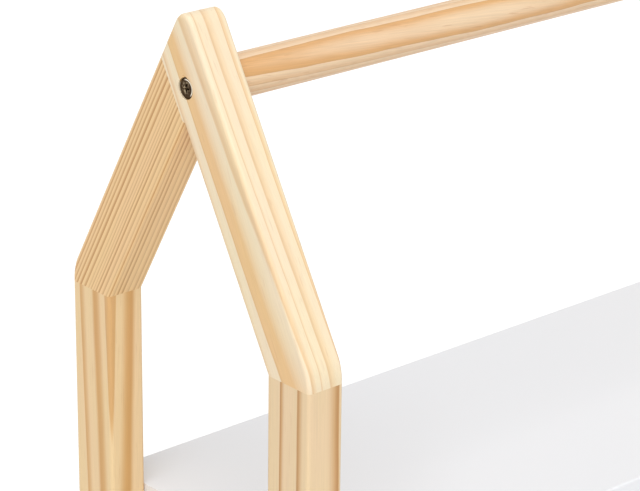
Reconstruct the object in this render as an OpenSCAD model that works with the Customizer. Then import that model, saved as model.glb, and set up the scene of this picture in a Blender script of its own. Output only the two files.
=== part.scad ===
// House shaped bookcase: two pine gables like little houses, a round ridge pole and white shelves.
// Millimetres. Origin on the floor under the middle of the whole case, +X to the right, -Y to the
// front. The pieces are drawn about the middle of the gables, and in_case puts them in their place.

/* [Case] */
// Width over the outer faces of both gables
case_w = 800; // [620:1:1100]
// Depth of the gables, front to rear
case_d = 255; // [230:1:320]
// Height of the post tops above the floor
post_top = 900; // [780:1:1100]
// Slope of the roof in degrees
roof_pitch = 60.3; // [57:0.1:63]

/* [Gable timber] */
// Thickness of posts, rafters and rails across the case
timber_w = 30; // [24:0.5:36]
// Width of posts and rafters, seen from the side
timber_d = 42; // [36:0.5:46]
// Radius of the long edges
edge_r = 3; // [1:0.5:5]
// Radius where a post turns into its rafter
shoulder_r = 32; // [10:1:45]
// Radius of the peak
peak_r = 9.5; // [3:0.5:10]
// Height of the rail that closes a gable near the floor
rail_h = 40; // [34:1:48]
// Clear height under that rail
rail_lift = 30; // [20:1:34]

/* [Ridge] */
// Diameter of the ridge pole
ridge_d = 30.5; // [26:0.5:34]
// How far the pole's axis lies in front of the middle of the gables
ridge_front = 2.3; // [0:0.1:3]
// Distance of the pole's axis from the underside of the front rafters
ridge_inset = 14.5; // [13.5:0.1:15.5]
// Diameter of the threaded inserts in its ends
insert_d = 10; // [9:0.5:12]
// Length of the inserts
insert_l = 15; // [10:1:20]

/* [Shelves] */
// Thickness of a shelf board
shelf_t = 25; // [20:0.5:28]
// How far the shelves stand out in front of the posts
shelf_proud = 10; // [0:1:15]
// Top face of the highest shelf, below the post tops
top_shelf_drop = 154; // [120:1:200]
// Top face of the lowest shelf above the floor
low_shelf_top = 105; // [98:1:130]
// Radius of the long edges of a shelf
shelf_edge_r = 1.5; // [0.5:0.5:3]
// Thickness of the back panel
panel_t = 4; // [3:0.5:6]
// How far the back panel lies inside the rear faces of the posts
panel_recess = 1; // [0.5:0.5:3]
// Top edge of the back panel, below the top face of the highest shelf
panel_drop = 4; // [3:0.5:5]

/* [Bolts] */
// Diameter of the bolts
bolt_d = 6; // [5:0.5:7]
// Length of a bolt under its head
bolt_l = 60; // [52:1:70]
// Diameter of a bolt head
head_d = 14.3; // [13:0.1:16]
// Thickness of a bolt head
head_h = 2.6; // [2:0.1:3.5]
// Depth of a bolt head's top below the wood
head_sunk = 0.8; // [0.2:0.1:1.5]
// Diameter of the barrel nuts
nut_d = 10; // [9:0.5:12]
// Length of the barrel nuts
nut_l = 13; // [11:0.5:14]
// Distance of the barrel nuts from the ends of a shelf
nut_inset = 28; // [22:1:30]

/* [Dowels and screws] */
// Diameter of the dowels in posts and rails
dowel_d = 8; // [6:0.5:9]
// Length of those dowels
dowel_l = 40; // [30:1:44]
// Distance between the two dowels of a joint
dowel_pitch = 14; // [12:0.5:16]
// Diameter of the dowels at the peak
peak_dowel_d = 6; // [5:0.5:6.5]
// Length of the dowels at the peak
peak_dowel_l = 30; // [24:1:32]
// Distance between the ridge bolt and each dowel at the peak
peak_dowel_gap = 11; // [10:0.5:11.5]
// Diameter of the back panel's screws
screw_d = 3; // [2.5:0.5:4]
// Length of those screws
screw_l = 18; // [14:1:24]
// Diameter of their countersunk heads
screw_head_d = 5.6; // [5:0.1:7]
// Distance from the tip of a shelf bolt to the nearest screw, along the shelf
screw_clear = 4.6; // [4:0.1:12]

/* [Feet] */
// Diameter of a foot glide
glide_d = 22; // [18:1:26]
// Thickness of a foot glide
glide_h = 4; // [3:0.5:8]
// Diameter of the nail of a glide
glide_nail_d = 2.4; // [2:0.1:3]
// Length of that nail above the glide
glide_nail_l = 18; // [12:1:24]

/* [Clearances] */
// Gap between a bolt, nut, dowel or screw and the wall of its hole
hole_gap = 0.1; // [0.05:0.05:0.3]
// Gap round a bolt shank where it passes through wood
shank_gap = 0.5; // [0.3:0.1:1]
// Gap round a bolt head in its counterbore
head_gap = 0.35; // [0.2:0.05:0.6]
// Space left at the end of a blind hole
end_gap = 0.9; // [0.3:0.1:0.95]
// Gap at each side of the back panel
panel_gap = 0.5; // [0.3:0.1:0.9]

/* [Hidden] */
$fn = 64;
BIG = 2000;
PINE = "burlywood";
PINE_ROD = "tan";
WHITE = "whitesmoke";
BRONZE = "darkgoldenrod";
STEEL = "silver";
BEECH = "wheat";
SIDES = [-1, 1];
post_bottom = glide_h;
inner_x = case_w / 2 - timber_w;
front_y = -case_d / 2;
rear_y = case_d / 2;
// The shelves stand out in front, so the gables lie this far behind the middle of the whole
gable_shift = shelf_proud / 2;
post_mid = case_d / 2 - timber_d / 2;
// Heights of the gable's lines above the post tops
shoulder_z = timber_d * (1 - sin(roof_pitch)) / cos(roof_pitch);
peak_z = shoulder_z + case_d / 2 * tan(roof_pitch);
under_z = (case_d / 2 - timber_d) * tan(roof_pitch);
ridge_z = under_z + (ridge_inset - ridge_front * sin(roof_pitch)) / cos(roof_pitch);
ridge_h = post_top + ridge_z;
// Distance of the ridge bolt along the joint at the peak, from the joint's lower end
bolt_along = (ridge_z - under_z) * sin(roof_pitch) - ridge_front * cos(roof_pitch);
// Shelves
shelf_l = 2 * inner_x;
shelf_rear = rear_y - panel_t - panel_recess;
shelf_front = front_y - shelf_proud;
top_shelf_top = post_top - top_shelf_drop;
mid_shelf_top = (top_shelf_top + low_shelf_top) / 2;
SHELF_TOPS = [low_shelf_top, mid_shelf_top, top_shelf_top];
panel_bottom = low_shelf_top - shelf_t;
panel_top = top_shelf_top - panel_drop;
// Bolts
head_depth = head_sunk + head_h;
bolt_reach = head_depth + bolt_l - timber_w;
// Screws
SCREW_COUNT = 5;
screw_margin = bolt_reach + screw_clear;
screw_step = (shelf_l - 2 * screw_margin) / (SCREW_COUNT - 1);
screw_cone = (screw_head_d - screw_d) / 2;
// Dowels of the bottom rails
rail_mid = rail_lift + rail_h / 2;
dowel_chamfer = 0.8;

// ---- Shared shapes ----

module in_case() {
  translate([0, gable_shift, 0]) children();
}

// A flat plate with round corners, exact arcs
module rounded_rect(w, d, r) {
  square([w - 2 * r, d], center = true);
  square([w, d - 2 * r], center = true);
  for (x = SIDES, y = SIDES) {
    translate([x * (w / 2 - r), y * (d / 2 - r)]) circle(r);
  }
}

// A bar with round long edges, standing on z = 0
module timber(w, d, l) {
  linear_extrude(l) rounded_rect(w, d, edge_r);
}

// Turns a drawing in the plane of the gable, across and up, into a slab centred on X = 0
module gable_slab(w) {
  rotate([90, 0, 90]) linear_extrude(w, center = true) children();
}

// A cylinder that lies along X, from x = 0 to x = l
module along_x(d, l) {
  rotate([0, 90, 0]) cylinder(d = d, h = l);
}

// A dowel with chamfered ends, along Z and centred
module dowel(d, l) {
  c = dowel_chamfer;
  translate([0, 0, -l / 2 + c]) cylinder(d = d, h = l - 2 * c);
  translate([0, 0, l / 2 - c]) cylinder(d1 = d, d2 = d - 2 * c, h = c);
  translate([0, 0, -l / 2]) cylinder(d1 = d - 2 * c, d2 = d, h = c);
}

// The hole for a dowel, along Z and centred, a little longer than the dowel
module dowel_hole(d, l) {
  cylinder(d = d + 2 * hole_gap, h = l + 2 * end_gap, center = true);
}

// ---- Places of fasteners, used by the pieces and by their holes ----

// A bolt comes in from the outer face of the gable on one side, and points to the middle
module from_gable(side, y, z) {
  translate([side * case_w / 2, y, z]) rotate([0, 0, side > 0 ? 180 : 0]) children();
}

module at_ridge_ends() {
  for (side = SIDES) from_gable(side, -ridge_front, ridge_h) children();
}

module at_shelf_bolts(top) {
  for (side = SIDES, end = SIDES) {
    from_gable(side, end * post_mid, top - shelf_t / 2) children();
  }
}

// The two dowels between a post and its rafter, in the gable at x
module at_post_dowels(x, end) {
  for (k = SIDES) {
    translate([x, end * (post_mid + k * dowel_pitch / 2), post_top]) children();
  }
}

// The dowels at the peak lie square to the joint, above and below the ridge bolt
module at_peak_dowels(x) {
  translate([x, 0, post_top + under_z]) rotate([roof_pitch, 0, 0])
    for (k = SIDES) translate([0, bolt_along + k * peak_dowel_gap, 0]) children();
}

module at_rail_dowels(x, end) {
  for (k = SIDES) {
    translate([x, end * (case_d / 2 - timber_d), rail_mid + k * dowel_pitch / 2])
      rotate([90, 0, 0]) children();
  }
}

module at_panel_screws() {
  for (top = SHELF_TOPS, i = [0 : SCREW_COUNT - 1]) {
    x = -shelf_l / 2 + screw_margin + i * screw_step;
    translate([x, rear_y - panel_recess, top - shelf_t / 2]) rotate([90, 0, 0]) children();
  }
}

// ---- Fasteners ----

// Cross recess of a bolt or screw head, cut down from z = 0
module cross_recess(span, depth) {
  for (turn = [0, 90]) {
    rotate([0, 0, turn]) translate([-span / 2, -span / 10, -depth]) cube([span, span / 5, depth + 1]);
  }
}

// A bolt along X, its head sunk in the gable
module bolt() {
  difference() {
    translate([head_sunk, 0, 0]) along_x(head_d, head_h);
    translate([head_sunk, 0, 0]) rotate([0, -90, 0]) cross_recess(head_d * 0.5, head_h * 0.6);
  }
  translate([head_depth, 0, 0]) along_x(bolt_d, bolt_l);
}

// What a bolt takes out of a post or rafter
module bolt_passage() {
  translate([-1, 0, 0]) along_x(head_d + 2 * head_gap, head_depth + 1);
  along_x(bolt_d + 2 * shank_gap, timber_w + 1);
}

// A barrel nut stands upright in the shelf with the bolt through its middle
module barrel_nut() {
  difference() {
    cylinder(d = nut_d, h = nut_l, center = true);
    rotate([0, 90, 0]) cylinder(d = bolt_d + 2 * hole_gap, h = nut_d + 2, center = true);
  }
}

module panel_screw() {
  cylinder(d1 = screw_head_d, d2 = screw_d, h = screw_cone);
  translate([0, 0, screw_cone]) cylinder(d = screw_d, h = screw_l - screw_cone);
}

// ---- Gable ----

// Outline of a whole gable in its plane, with a round peak and round shoulders
module gable_outline() {
  half = case_d / 2;
  // Distance from a corner to where its arc begins
  shoulder_cut = shoulder_r * tan((90 - roof_pitch) / 2);
  peak_cut = peak_r * tan(roof_pitch);
  // Centre of the arc at the peak
  peak_centre = post_top + peak_z - peak_r / cos(roof_pitch);
  shoulder_h = post_top + shoulder_z;
  difference() {
    polygon([
      [-half, 0], [half, 0], [half, shoulder_h], [0, post_top + peak_z], [-half, shoulder_h]
    ]);
    for (s = SIDES) scale_side(s) difference() {
      // The corner beyond the arc, as a kite
      polygon([
        [half + 1, shoulder_h - shoulder_cut],
        [half + 1, shoulder_h + shoulder_cut],
        [half - shoulder_cut * cos(roof_pitch), shoulder_h + shoulder_cut * sin(roof_pitch)],
        [half - shoulder_r, shoulder_h - shoulder_cut]
      ]);
      translate([half - shoulder_r, shoulder_h - shoulder_cut]) circle(shoulder_r, $fn = 128);
    }
    difference() {
      polygon([
        [0, peak_centre],
        [peak_cut * cos(roof_pitch), post_top + peak_z - peak_cut * sin(roof_pitch)],
        [peak_cut * cos(roof_pitch), post_top + peak_z + 1],
        [-peak_cut * cos(roof_pitch), post_top + peak_z + 1],
        [-peak_cut * cos(roof_pitch), post_top + peak_z - peak_cut * sin(roof_pitch)]
      ]);
      translate([0, peak_centre]) circle(peak_r);
    }
  }
}

// Keeps a drawing as it is on one side, and mirrors it on the other
module scale_side(s) {
  if (s > 0) children();
  else mirror([1, 0]) children();
}

// Rounds the upright edges that a post's outer face carries on into its rafter
module upright_edge_cut(x, end) {
  for (k = SIDES) {
    translate([x + k * (timber_w / 2 - edge_r), end * (case_d / 2 - edge_r), post_top - 1])
      linear_extrude(shoulder_z + 1) difference() {
        translate([k > 0 ? 0 : -edge_r - 1, end > 0 ? 0 : -edge_r - 1]) square(edge_r + 1);
        circle(edge_r);
      }
  }
}

// A long bar along one slope of the roof. end is -1 for the front slope and 1 for the rear one
module slope_bar(x, end) {
  length = BIG;
  translate([x, end * (case_d / 2 - timber_d), post_top])
    rotate([end * (90 - roof_pitch), 0, 0])
    translate([0, end * timber_d / 2, -length / 2])
    timber(timber_w, timber_d, length);
}

// All that lies on the front rafter's side of the joint at the peak
module beyond_peak_joint(x) {
  translate([x, 0, post_top + under_z]) rotate([roof_pitch, 0, 0])
    translate([0, 0, BIG / 2]) cube([timber_w + 2, 2 * BIG, BIG], center = true);
}

module post(side, end) {
  x = side * (inner_x + timber_w / 2);
  difference() {
    translate([x, end * post_mid, post_bottom]) timber(timber_w, timber_d, post_top - post_bottom);
    for (top = SHELF_TOPS) from_gable(side, end * post_mid, top - shelf_t / 2) bolt_passage();
    at_post_dowels(x, end) dowel_hole(dowel_d, dowel_l);
    at_rail_dowels(x, end) dowel_hole(dowel_d, dowel_l);
    translate([x, end * post_mid, 0])
      cylinder(d = glide_nail_d + 2 * hole_gap, h = glide_h + glide_nail_l + end_gap);
  }
}

// The front rafter runs through to the peak, over the end of the rear one
module rafter(side, end) {
  x = side * (inner_x + timber_w / 2);
  difference() {
    intersection() {
      slope_bar(x, end);
      translate([x, 0, 0]) gable_slab(timber_w + 2) gable_outline();
      translate([x - BIG / 2, -BIG / 2, post_top]) cube([BIG, BIG, BIG]);
    }
    if (end > 0) beyond_peak_joint(x);
    upright_edge_cut(x, end);
    at_post_dowels(x, end) dowel_hole(dowel_d, dowel_l);
    at_peak_dowels(x) dowel_hole(peak_dowel_d, peak_dowel_l);
    if (end < 0) from_gable(side, -ridge_front, ridge_h) bolt_passage();
  }
}

module bottom_rail(side) {
  x = side * (inner_x + timber_w / 2);
  l = case_d - 2 * timber_d;
  difference() {
    translate([x, l / 2, rail_mid]) rotate([90, 0, 0]) timber(timber_w, rail_h, l);
    for (end = SIDES) at_rail_dowels(x, end) dowel_hole(dowel_d, dowel_l);
  }
}

// ---- Ridge ----

module ridge_pole() {
  l = 2 * inner_x;
  c = 0.5;
  color(PINE_ROD) in_case() difference() {
    union() {
      translate([-l / 2 + c, -ridge_front, ridge_h]) along_x(ridge_d, l - 2 * c);
      at_ridge_ends() translate([timber_w, 0, 0]) rotate([0, 90, 0])
        cylinder(d1 = ridge_d - 2 * c, d2 = ridge_d, h = c);
    }
    at_ridge_ends() translate([timber_w - 1, 0, 0]) {
      along_x(insert_d + 2 * hole_gap, insert_l + 1 + end_gap);
      along_x(bolt_d + 2 * shank_gap, bolt_reach + 1 + end_gap);
    }
  }
}

module ridge_inserts() {
  color(STEEL) in_case() at_ridge_ends() translate([timber_w, 0, 0]) difference() {
    along_x(insert_d, insert_l);
    translate([-1, 0, 0]) along_x(bolt_d + 2 * hole_gap, insert_l + 2);
  }
}

module ridge_bolts() {
  color(BRONZE) in_case() at_ridge_ends() bolt();
}

// ---- Shelves and back ----

module shelf(top) {
  depth = shelf_rear - shelf_front;
  middle = (shelf_rear + shelf_front) / 2;
  color(WHITE) in_case() difference() {
    translate([-shelf_l / 2, middle, top - shelf_t / 2]) rotate([90, 0, 90])
      linear_extrude(shelf_l) rounded_rect(depth, shelf_t, shelf_edge_r);
    at_shelf_bolts(top) translate([timber_w - 1, 0, 0]) {
      along_x(bolt_d + 2 * shank_gap, bolt_reach + 1 + end_gap);
      // The nut goes in from below
      translate([1 + nut_inset, 0, -shelf_t / 2 - 1])
        cylinder(d = nut_d + 2 * hole_gap, h = shelf_t / 2 + 1 + nut_l / 2 + end_gap);
    }
    screw_holes();
  }
}

module screw_holes() {
  at_panel_screws() cylinder(d = screw_d + 2 * hole_gap, h = screw_l + end_gap);
}

module top_shelf() {
  shelf(top_shelf_top);
}

module middle_shelf() {
  shelf(mid_shelf_top);
}

module bottom_shelf() {
  shelf(low_shelf_top);
}

module back_panel() {
  l = shelf_l - 2 * panel_gap;
  color(WHITE) in_case() difference() {
    translate([-l / 2, shelf_rear, panel_bottom]) cube([l, panel_t, panel_top - panel_bottom]);
    screw_holes();
    at_panel_screws() translate([0, 0, -hole_gap])
      cylinder(d1 = screw_head_d + 4 * hole_gap, d2 = screw_d, h = screw_cone + 2 * hole_gap);
  }
}

module shelf_bolts() {
  color(BRONZE) in_case() for (top = SHELF_TOPS) at_shelf_bolts(top) bolt();
}

module shelf_barrel_nuts() {
  color(STEEL) in_case() for (top = SHELF_TOPS) {
    at_shelf_bolts(top) translate([timber_w + nut_inset, 0, 0]) barrel_nut();
  }
}

module panel_screws() {
  color(STEEL) in_case() at_panel_screws() panel_screw();
}

// ---- Dowels and feet ----

module post_dowels() {
  color(BEECH) in_case() for (side = SIDES, end = SIDES) {
    at_post_dowels(side * (inner_x + timber_w / 2), end) dowel(dowel_d, dowel_l);
  }
}

module peak_dowels() {
  color(BEECH) in_case() for (side = SIDES) {
    at_peak_dowels(side * (inner_x + timber_w / 2)) dowel(peak_dowel_d, peak_dowel_l);
  }
}

module rail_dowels() {
  color(BEECH) in_case() for (side = SIDES, end = SIDES) {
    at_rail_dowels(side * (inner_x + timber_w / 2), end) dowel(dowel_d, dowel_l);
  }
}

// A plastic pad with a round rim and a nail that holds it in the post
module glide(side, end) {
  rim = glide_h / 4;
  color(WHITE) in_case() translate([side * (inner_x + timber_w / 2), end * post_mid, 0]) {
    cylinder(d1 = glide_d - 2 * rim, d2 = glide_d, h = rim);
    translate([0, 0, rim]) cylinder(d = glide_d, h = glide_h - rim);
    translate([0, 0, rim]) cylinder(d = glide_nail_d, h = glide_h - rim + glide_nail_l);
  }
}

module left_front_post() { color(PINE) in_case() post(-1, -1); }
module left_rear_post() { color(PINE) in_case() post(-1, 1); }
module right_front_post() { color(PINE) in_case() post(1, -1); }
module right_rear_post() { color(PINE) in_case() post(1, 1); }
module left_front_rafter() { color(PINE) in_case() rafter(-1, -1); }
module left_rear_rafter() { color(PINE) in_case() rafter(-1, 1); }
module right_front_rafter() { color(PINE) in_case() rafter(1, -1); }
module right_rear_rafter() { color(PINE) in_case() rafter(1, 1); }
module left_bottom_rail() { color(PINE) in_case() bottom_rail(-1); }
module right_bottom_rail() { color(PINE) in_case() bottom_rail(1); }
module left_front_glide() { glide(-1, -1); }
module left_rear_glide() { glide(-1, 1); }
module right_front_glide() { glide(1, -1); }
module right_rear_glide() { glide(1, 1); }

left_front_post();
left_rear_post();
right_front_post();
right_rear_post();
left_front_rafter();
left_rear_rafter();
right_front_rafter();
right_rear_rafter();
left_bottom_rail();
right_bottom_rail();
ridge_pole();
ridge_inserts();
ridge_bolts();
top_shelf();
middle_shelf();
bottom_shelf();
back_panel();
shelf_bolts();
shelf_barrel_nuts();
post_dowels();
peak_dowels();
rail_dowels();
panel_screws();
left_front_glide();
left_rear_glide();
right_front_glide();
right_rear_glide();
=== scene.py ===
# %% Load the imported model
import bpy
import math
from mathutils import Matrix, Vector


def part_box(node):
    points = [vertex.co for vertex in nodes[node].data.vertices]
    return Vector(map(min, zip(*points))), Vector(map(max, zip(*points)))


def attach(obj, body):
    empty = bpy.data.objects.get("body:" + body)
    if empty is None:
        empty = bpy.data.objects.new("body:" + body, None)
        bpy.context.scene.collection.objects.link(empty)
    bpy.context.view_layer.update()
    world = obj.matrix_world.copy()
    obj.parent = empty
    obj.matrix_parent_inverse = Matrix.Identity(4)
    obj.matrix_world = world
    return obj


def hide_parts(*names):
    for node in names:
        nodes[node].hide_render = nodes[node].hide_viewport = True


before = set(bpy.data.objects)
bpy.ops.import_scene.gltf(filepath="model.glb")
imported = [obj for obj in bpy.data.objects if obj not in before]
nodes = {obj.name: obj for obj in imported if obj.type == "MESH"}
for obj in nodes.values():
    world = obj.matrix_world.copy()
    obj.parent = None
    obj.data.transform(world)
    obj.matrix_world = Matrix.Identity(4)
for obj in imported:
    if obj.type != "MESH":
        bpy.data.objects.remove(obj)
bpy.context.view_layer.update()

# %% [markdown]
# # A house shaped bookcase
# The real thing is two pine gables like little houses, a round ridge pole between their peaks and
# white shelves between their posts. The gables are drawn once and cut into boards, because each
# board of the real one comes from its own log and shows its own grain. All lengths are in metres,
# X runs along the shelves, the front looks towards -Y and the floor is at Z = 0.

# %% Lengths of the case
MM = 0.001
LEFT, RIGHT, FRONT, REAR = -1, 1, -1, 1
CASE_W = 800 * MM
CASE_D = 255 * MM
POST_TOP = 900 * MM
PITCH = math.radians(60.3)
TIMBER_W = 30 * MM
TIMBER_D = 42 * MM
EDGE_R = 3 * MM
SHOULDER_R = 32 * MM
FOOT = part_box("left_front_post")[0].z
GABLE_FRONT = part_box("left_front_post")[0].y
GABLE_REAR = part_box("left_rear_post")[1].y
GABLE_MID = (GABLE_FRONT + GABLE_REAR) / 2
OUTER_X = CASE_W / 2
INNER_X = OUTER_X - TIMBER_W
SHOULDER_Z = POST_TOP + TIMBER_D * (1 - math.sin(PITCH)) / math.cos(PITCH)
SHARP_PEAK_Z = SHOULDER_Z + CASE_D / 2 * math.tan(PITCH)
UNDER_PEAK_Z = POST_TOP + (CASE_D / 2 - TIMBER_D) * math.tan(PITCH)
RIDGE_FRONT = 2.3 * MM
RIDGE_INSET = 14.5 * MM
RIDGE_Y = GABLE_MID - RIDGE_FRONT
RIDGE_Z = UNDER_PEAK_Z + (RIDGE_INSET - RIDGE_FRONT * math.sin(PITCH)) / math.cos(PITCH)
print("gables from y", round(GABLE_FRONT, 4), "to", round(GABLE_REAR, 4))
print("ridge at z", round(RIDGE_Z, 4))

# %% [markdown]
# ## Selecting what an operator works on
# An operator works on whatever is selected, as when working by hand. A script can't click on an
# edge, so it picks faces and edges by where they are or which way they look. Writing the meshes
# point by point would do without all this, but the steps below can be followed in the viewport.

# %% Helpers for selecting
def only(piece):
    """Selects this piece alone, in object mode."""
    if bpy.context.mode != "OBJECT":
        bpy.ops.object.mode_set(mode="OBJECT")
    bpy.ops.object.select_all(action="DESELECT")
    piece.select_set(True)
    bpy.context.view_layer.objects.active = piece


def edit(piece, mode):
    """Opens the piece in edit mode with nothing selected. mode is VERT, EDGE or FACE."""
    only(piece)
    bpy.ops.object.mode_set(mode="EDIT")
    bpy.ops.mesh.select_mode(type=mode)
    bpy.ops.mesh.select_all(action="DESELECT")


def pick_edges(piece, wanted):
    """Selects the edges whose two ends satisfy wanted(a, b), and counts them."""
    edit(piece, "EDGE")
    bpy.ops.object.mode_set(mode="OBJECT")
    points = piece.data.vertices
    count = 0
    for edge in piece.data.edges:
        edge.select = wanted(*(points[i].co for i in edge.vertices))
        count += edge.select
    bpy.ops.object.mode_set(mode="EDIT")
    return count


def pick_faces(piece, wanted):
    """Selects the faces for which wanted(centre, normal) is true."""
    edit(piece, "FACE")
    bpy.ops.object.mode_set(mode="OBJECT")
    for face in piece.data.polygons:
        face.select = wanted(face.center, face.normal)
    bpy.ops.object.mode_set(mode="EDIT")


def near(a, b, slack=0.02 * MM):
    return abs(a - b) < slack

# %% [markdown]
# ## One gable
# A gable is two posts and two rafters, which together are a house outline 42 mm wide all round.
# Four bars could be set at their angles, but then their ends would have to be mitred to fit. Here
# the outline is made whole: a block gets its two roof slopes sawn off, insetting both flat faces
# by the width of the timber draws the inner outline, and bridging the two inset faces opens the
# window. The block also has a sill, so that sawing it off leaves the feet of the posts square.

# %% Block out the house
def block(name, low, high):
    """A box from one corner to the other, as the start of a piece."""
    bpy.ops.object.select_all(action="DESELECT")
    low, high = Vector(low), Vector(high)
    bpy.ops.mesh.primitive_cube_add(size=1, location=(low + high) / 2, scale=high - low)
    piece = bpy.context.object
    piece.name = piece.data.name = name
    bpy.ops.object.transform_apply(location=True, rotation=True, scale=True)
    return piece


def saw(piece, point, normal, keep="below"):
    """Cuts the piece with a plane, and keeps the part behind it or the part in front of it."""
    edit(piece, "VERT")
    bpy.ops.mesh.select_all(action="SELECT")
    bpy.ops.mesh.bisect(plane_co=point, plane_no=normal, use_fill=True, threshold=0.001 * MM,
                        clear_outer=keep == "below", clear_inner=keep == "above")
    only(piece)


SILL = 2 * TIMBER_D
low_corner = (-OUTER_X, GABLE_FRONT, FOOT - SILL)
high_corner = (-INNER_X, GABLE_REAR, SHARP_PEAK_Z + MM)
gable = block("gable", low_corner, high_corner)
for end in (FRONT, REAR):
    slope = (0, end * math.sin(PITCH), math.cos(PITCH))
    saw(gable, (0, GABLE_MID, SHARP_PEAK_Z), slope)
pick_faces(gable, lambda centre, normal: abs(normal.x) > 0.9)
bpy.ops.mesh.inset(thickness=TIMBER_D)
bpy.ops.mesh.bridge_edge_loops()
saw(gable, (0, 0, FOOT), (0, 0, 1), keep="above")
edit(gable, "EDGE")
bpy.ops.mesh.select_all(action="SELECT")
bpy.ops.mesh.dissolve_limited(angle_limit=math.radians(0.5))
only(gable)
print("gable outline has", len(gable.data.vertices) // 2, "corners")

# %% [markdown]
# The shoulders are round where a post turns into its rafter, and the peak is blunt. A rounding
# block could be subtracted, but a bevel of the short edge across the timber does it in one step.
# At a shoulder, the length set off along each side follows from the radius and from how far the
# edge turns. The peak turns so sharply that a bevel isn't a true arc there, so its length is the
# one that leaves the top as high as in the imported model.

# %% Round the shoulders and the peak
def round_off(size, segments):
    """Bevels the selected edges."""
    bpy.ops.mesh.bevel(offset=size, segments=segments, profile=0.5, affect="EDGES")


def across(place_y, place_z):
    """For pick_edges: the short edge across the timber at this place of the outline."""
    return lambda a, b: all(near(p.y, place_y, MM) and near(p.z, place_z, MM) for p in (a, b))


SHOULDER_CUT = SHOULDER_R * math.tan((math.pi / 2 - PITCH) / 2)
PEAK_CUT = 19.15 * MM
for place_y in (GABLE_FRONT, GABLE_REAR):
    pick_edges(gable, across(place_y, SHOULDER_Z))
    round_off(SHOULDER_CUT, segments=12)
pick_edges(gable, across(GABLE_MID, SHARP_PEAK_Z))
round_off(PEAK_CUT, segments=14)
only(gable)
print("rounded top at", round(max(v.co.z for v in gable.data.vertices), 5))

# %% [markdown]
# After glueing, all long edges of a gable are rounded with one router bit, so the rounding runs
# on from post to rafter. Bevelling each board by itself would round the joints too. So this is
# done before the gable is cut up, as one bevel of every edge that lies in a flat face, apart from
# the ends of the feet.

# %% Round the long edges
def long_edge(a, b):
    """For pick_edges: an edge round one of the two flat faces, but not at the floor."""
    same_face = near(a.x, b.x) and (near(a.x, -OUTER_X) or near(a.x, -INNER_X))
    at_foot = near(a.z, FOOT) and near(b.z, FOOT)
    return same_face and not at_foot


count = pick_edges(gable, long_edge)
round_off(EDGE_R, segments=5)
only(gable)
print("rounded", count, "edges,", len(gable.data.polygons), "faces")

# %% [markdown]
# ## Boards from the gables
# In the photograph the grain stops at each joint, because every board comes from its own log. One
# mesh with several materials could show that, but the boards are separate parts in the model. So
# a copy of the gable is sawn at the joints once for each board, and the faces stay flush. The
# front rafter runs through to the peak, and the rear one butts against its underside. That joint
# is sawn a hair below it, so that the cut doesn't run along faces that are there already.

# %% Saw both gables into posts and rafters
def copy_of(piece, name, shift=(0, 0, 0)):
    """A copy with its own mesh, moved along."""
    only(piece)
    bpy.ops.object.duplicate()
    twin = bpy.context.object
    twin.name = twin.data.name = name
    bpy.ops.transform.translate(value=shift)
    bpy.ops.object.transform_apply(location=True, rotation=True, scale=True)
    return twin


HAIR = 0.03 * MM
JOINT_NORMAL = Vector((0, -math.sin(PITCH), math.cos(PITCH)))
JOINT_POINT = Vector((0, GABLE_MID, UNDER_PEAK_Z)) - HAIR * JOINT_NORMAL
POST_JOINT = ((0, 0, POST_TOP), (0, 0, 1))
MIDDLE = ((0, GABLE_MID, 0), (0, 1, 0))
CUTS = {
    "front_post": [(*POST_JOINT, "below"), (*MIDDLE, "below")],
    "rear_post": [(*POST_JOINT, "below"), (*MIDDLE, "above")],
    "front_rafter": [(*POST_JOINT, "above"), (JOINT_POINT, JOINT_NORMAL, "above")],
    "rear_rafter": [(*POST_JOINT, "above"), (JOINT_POINT, JOINT_NORMAL, "below")],
}
boards = {}
for side, shift in (("left", 0), ("right", OUTER_X + INNER_X)):
    for part, cuts in CUTS.items():
        name = f"{side}_{part}"
        board = copy_of(gable, name + "_wood", (shift, 0, 0))
        for point, normal, keep in cuts:
            saw(board, point, normal, keep)
        boards[name] = board
bpy.data.objects.remove(gable)
print({name: len(board.data.polygons) for name, board in boards.items()})

# %% [markdown]
# The bottom rails close the gables just above the floor. They could be a part of the house
# outline, but their ends meet the posts square and flat. So each is a plain bar with the same
# round long edges: one block is bevelled, and copied to the other side.

# %% Bottom rails
low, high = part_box("left_bottom_rail")
rail = block("left_bottom_rail_wood", low, high)
pick_edges(rail, lambda a, b: not near(a.y, b.y))
round_off(EDGE_R, segments=5)
only(rail)
boards["left_bottom_rail"] = rail
boards["right_bottom_rail"] = copy_of(rail, "right_bottom_rail_wood", (OUTER_X + INNER_X, 0, 0))
print("rail", [round(n, 4) for n in high - low])

# %% [markdown]
# ## Holes for the bolt heads
# Each bolt head sits in a flat-bottomed hole in the outer face. The face could be inset and pushed
# in, but the faces to drill are long and many-sided. So a rod as wide as the hole is subtracted
# with a Boolean, as a drill bit would cut it.

# %% Helpers for drilling
def rod(name, radius, length, middle, sides=64):
    """A round rod along X, as the start of a piece."""
    bpy.ops.object.select_all(action="DESELECT")
    bpy.ops.mesh.primitive_cylinder_add(vertices=sides, radius=radius, depth=length,
                                        location=middle, rotation=(0, math.pi / 2, 0))
    piece = bpy.context.object
    piece.name = piece.data.name = name
    bpy.ops.object.transform_apply(location=True, rotation=True, scale=True)
    return piece


def apply_modifier(piece, kind, **settings):
    """Adds a modifier with these settings and applies it."""
    only(piece)
    modifier = piece.modifiers.new(kind.title(), kind)
    for name, value in settings.items():
        setattr(modifier, name, value)
    bpy.ops.object.modifier_apply(modifier=modifier.name)


def take_out(board, cutter):
    """Subtracts the cutter from the board, and throws the cutter away."""
    apply_modifier(board, "BOOLEAN", operation="DIFFERENCE", object=cutter)
    bpy.data.objects.remove(cutter)

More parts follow.
